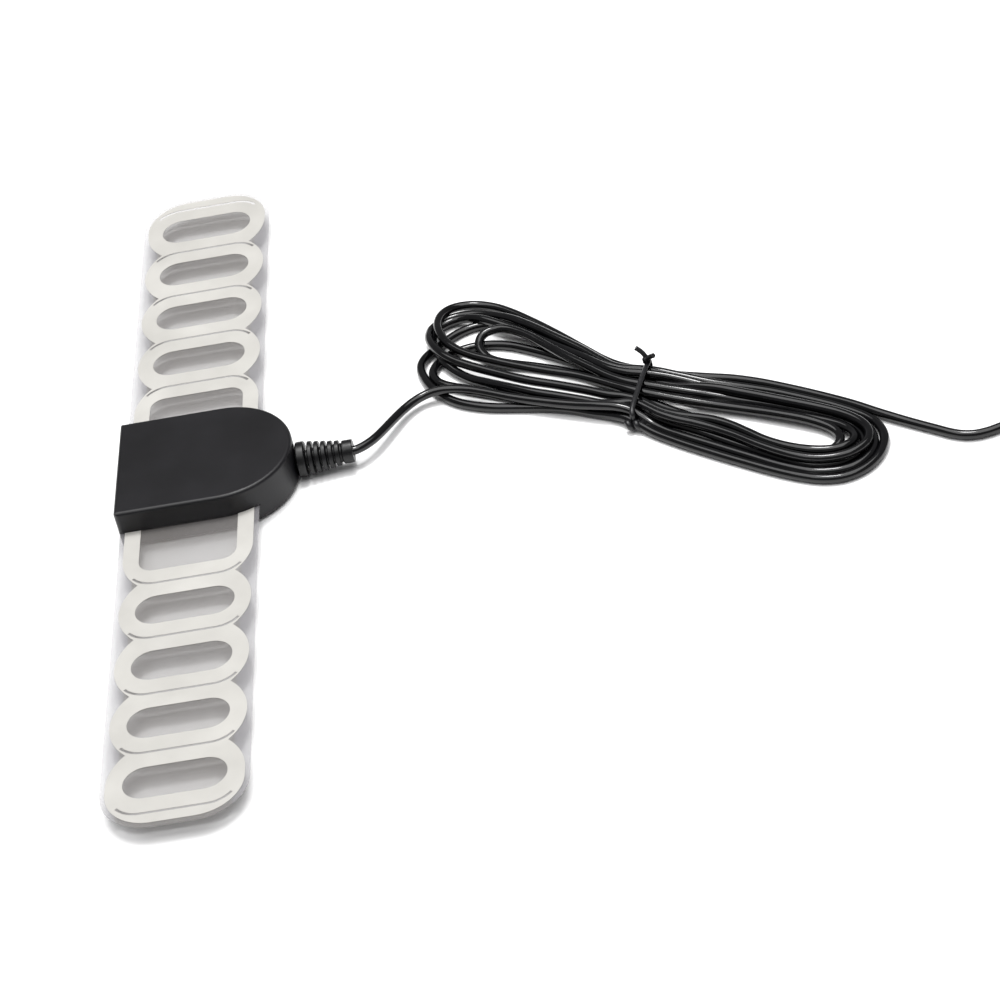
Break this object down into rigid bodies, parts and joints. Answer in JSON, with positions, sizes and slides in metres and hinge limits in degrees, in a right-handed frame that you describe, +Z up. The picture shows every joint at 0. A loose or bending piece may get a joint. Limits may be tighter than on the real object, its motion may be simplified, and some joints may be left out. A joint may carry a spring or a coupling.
{
  "type": "film television antenna",
  "caption": "Flat clear film antenna with printed loops, a clamped two-part amplifier housing, a hank of thin coaxial lead and a screw-on plug.",
  "frame": {"origin": "centre of the adhesive pad's outer face under the housing, on the surface that the antenna lies on", "axes": "+Y along the film, +X across the film towards the cable's exit, +Z up out of the housing's top"},
  "size_m": [0.3478, 0.322, 0.0146],
  "materials": {
    "housing_black": "satin black moulded ABS",
    "adhesive_foam": "closed-cell foam tape",
    "clear_film": "clear polyester film",
    "printed_ink": "matt silver-white conductive ink",
    "circuit_board": "green solder mask",
    "spring_bronze": "phosphor bronze",
    "component_black": "moulded epoxy",
    "component_tan": "ceramic",
    "ferrite": "sintered ferrite",
    "copper_wire": "enamelled copper",
    "steel": "zinc plated",
    "relief_black": "moulded soft vinyl",
    "cable_black": "glossy black vinyl jacket",
    "tie_black": "vinyl-coated wire",
    "tinned_braid": "tinned copper braid",
    "white_insulation": "polyethylene",
    "nickel": "nickel plated brass",
    "pin_brass": "bare brass"
  },
  "bodies": {
    "antenna": {"upper_shell": "housing_black", "lower_shell": "housing_black", "adhesive_pad": "adhesive_foam", "base_film": "clear_film", "near_loops": "printed_ink", "far_loops": "printed_ink", "circuit_board": "circuit_board", "contact_springs": "spring_bronze", "amplifier_chip": "component_black", "chip_components": "component_tan", "input_balun": "ferrite", "balun_winding": "copper_wire", "bias_choke": "component_black", "board_screws": "steel", "housing_screws": "steel", "strain_relief": "relief_black", "cable_entry": "cable_black", "crimp_ferrule": "nickel", "shield_pigtail": "tinned_braid", "core_insulation": "white_insulation", "inner_conductor": "copper_wire", "cable_lead": "cable_black", "cable_hank": "cable_black", "twist_tie": "tie_black", "cable_tail": "cable_black", "plug_sleeve": "nickel", "plug_body": "nickel", "plug_insulator": "white_insulation", "plug_pin": "pin_brass"},
    "nut": {"coupling_nut": "nickel"}
  },
  "joints": [
    {"name": "nut_spin", "type": "hinge", "parent": "antenna", "child": "nut", "pos_m": [0.314, -0.031, 0.0065], "axis": [1, 0, 0], "continuous": true}
  ]
}
